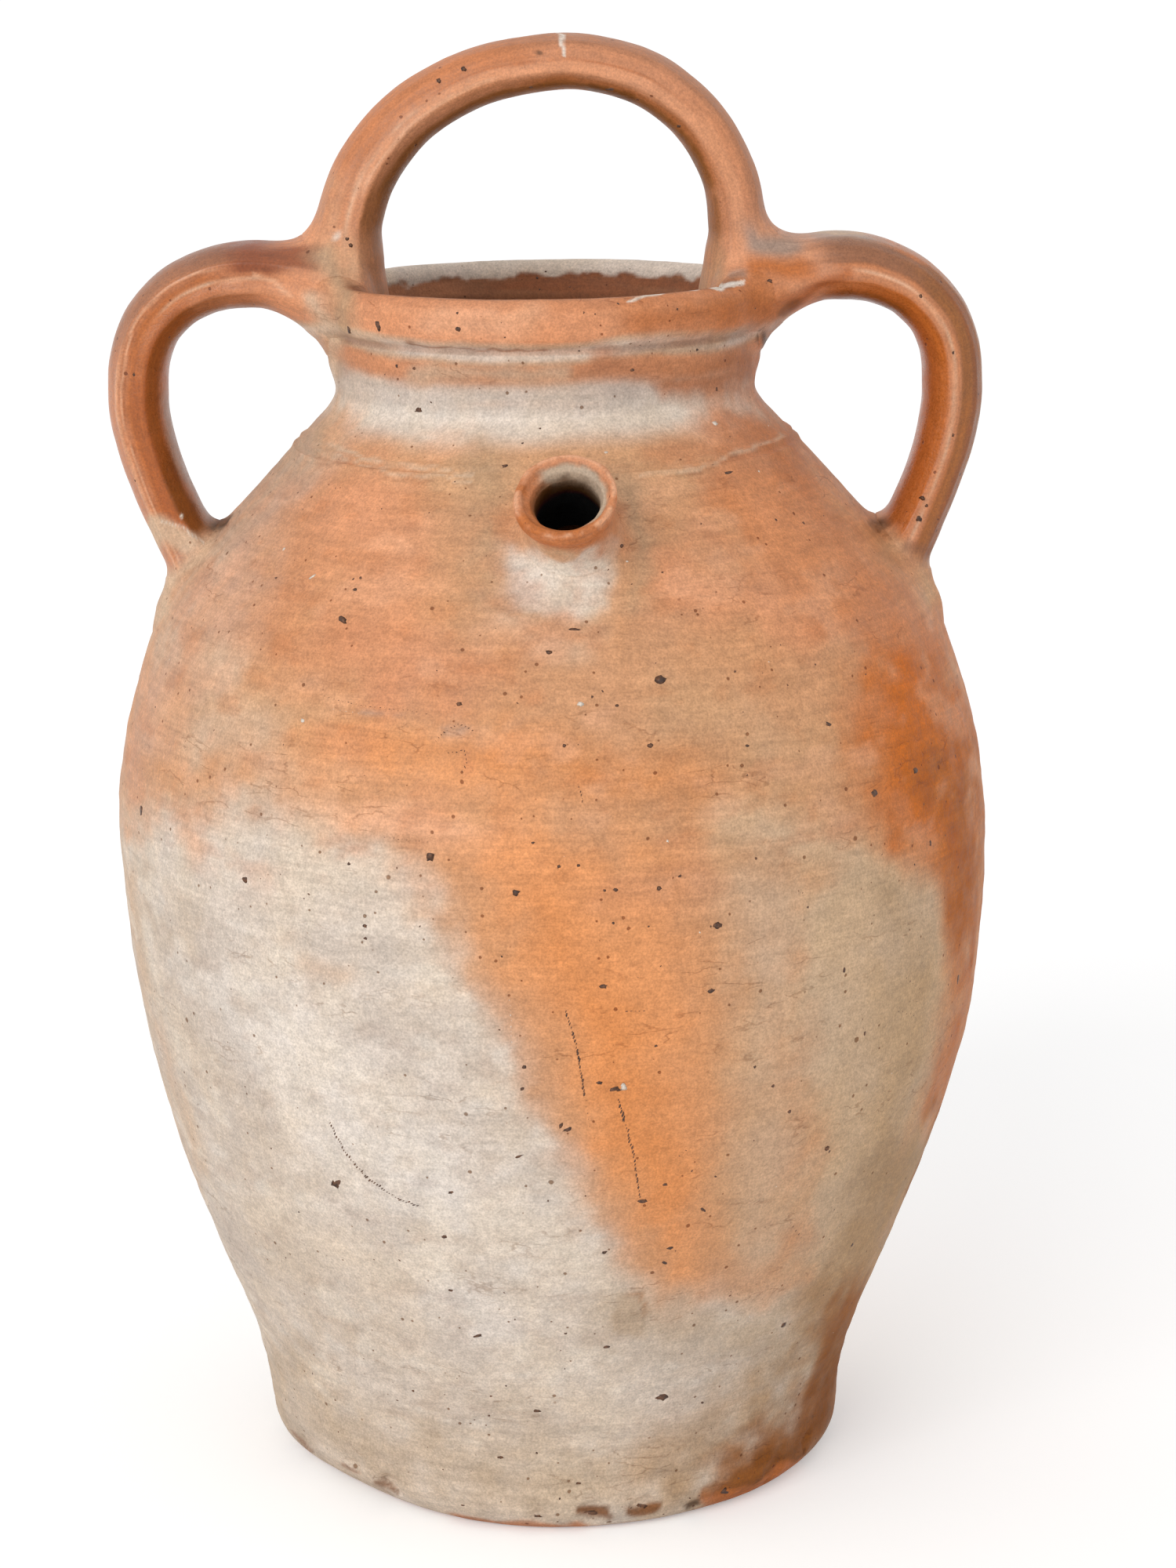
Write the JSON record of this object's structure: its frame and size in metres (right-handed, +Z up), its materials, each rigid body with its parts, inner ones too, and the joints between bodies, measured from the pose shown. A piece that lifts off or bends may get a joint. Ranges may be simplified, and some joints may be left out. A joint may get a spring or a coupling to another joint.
{
  "type": "three-handled stoneware pot",
  "caption": "Tall wood-fired stoneware jar with a bail over the mouth, an ear handle on each side and a short pouring spout on the shoulder.",
  "frame": {"origin": "centre of the flat underside, on the surface that the pot stands on", "axes": "+Z up; the spout faces -Y; the handles lie in the XZ plane, with the pot's right ear towards +X"},
  "size_m": [0.273, 0.273, 0.449],
  "materials": {
    "body_stoneware": "matte wood-fired stoneware, orange flashing over cream, dark iron specks",
    "spout_stoneware": "satin orange stoneware, rubbed at the rim",
    "handle_stoneware": "satin ash-glossed stoneware, orange-brown with grey tops"
  },
  "bodies": {
    "root": {"thrown_body": "body_stoneware", "pouring_spout": "spout_stoneware", "bail_handle": "handle_stoneware", "left_ear_handle": "handle_stoneware", "right_ear_handle": "handle_stoneware"}
  },
  "joints": []
}
